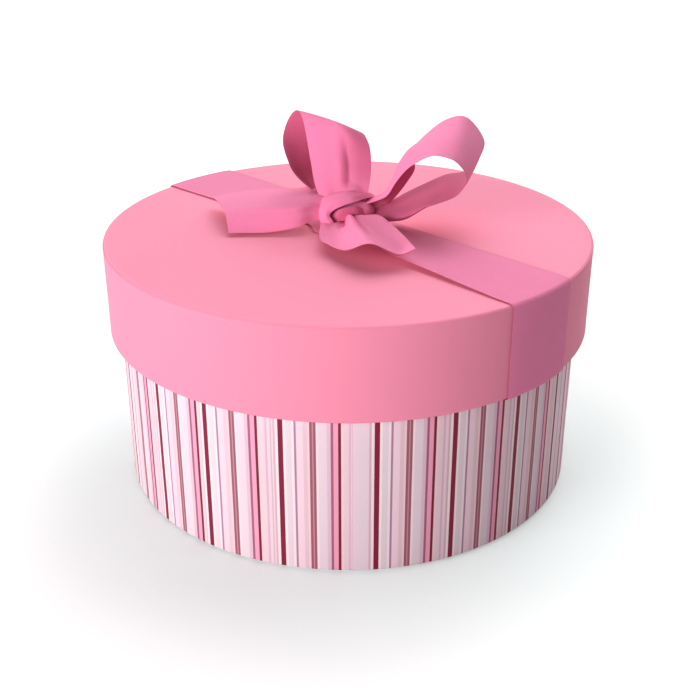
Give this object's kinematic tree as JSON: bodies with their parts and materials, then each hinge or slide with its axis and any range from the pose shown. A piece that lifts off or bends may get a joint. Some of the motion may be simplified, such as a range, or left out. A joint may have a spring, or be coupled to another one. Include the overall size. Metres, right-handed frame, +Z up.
{
  "type": "round gift box",
  "caption": "Round paperboard gift box with a striped paper base and a deep lift-off pink lid, dressed with a ribbon band and a tied ribbon bow.",
  "frame": {"origin": "centre of the underside, where the box stands", "axes": "+Z up, along the way the lid lifts; +X along the ribbon band, towards the end that the picture shows at the lower right"},
  "size_m": [0.2236, 0.222, 0.1711],
  "materials": {
    "striped_paper": "matte printed paper with thin upright stripes in crimson, pinks, mauve, grey and white",
    "pink_paper": "matte plain pink covering paper",
    "pink_ribbon": "soft woven taffeta ribbon, matte with a slight sheen",
    "greyboard": "bare greyboard",
    "lining_paper": "matte off-white lining paper"
  },
  "bodies": {
    "base": {"base_wall": "greyboard", "base_board": "greyboard", "base_wrap": "striped_paper", "base_lining": "lining_paper", "base_floor_paper": "lining_paper", "base_underside_paper": "lining_paper"},
    "lid": {"lid_board": "greyboard", "lid_hoop": "greyboard", "lid_top_paper": "pink_paper", "lid_skirt_wrap": "pink_paper", "lid_lining": "lining_paper", "lid_inner_disc": "lining_paper", "ribbon_band": "pink_ribbon", "bow_knot": "pink_ribbon", "bow_loop_left": "pink_ribbon", "bow_loop_right": "pink_ribbon", "bow_tail_left": "pink_ribbon", "bow_tail_front": "pink_ribbon"}
  },
  "joints": [
    {"name": "lid_lift", "type": "slide", "parent": "base", "child": "lid", "axis": [0, 0, 1], "range_m": [0, 0.12]}
  ]
}
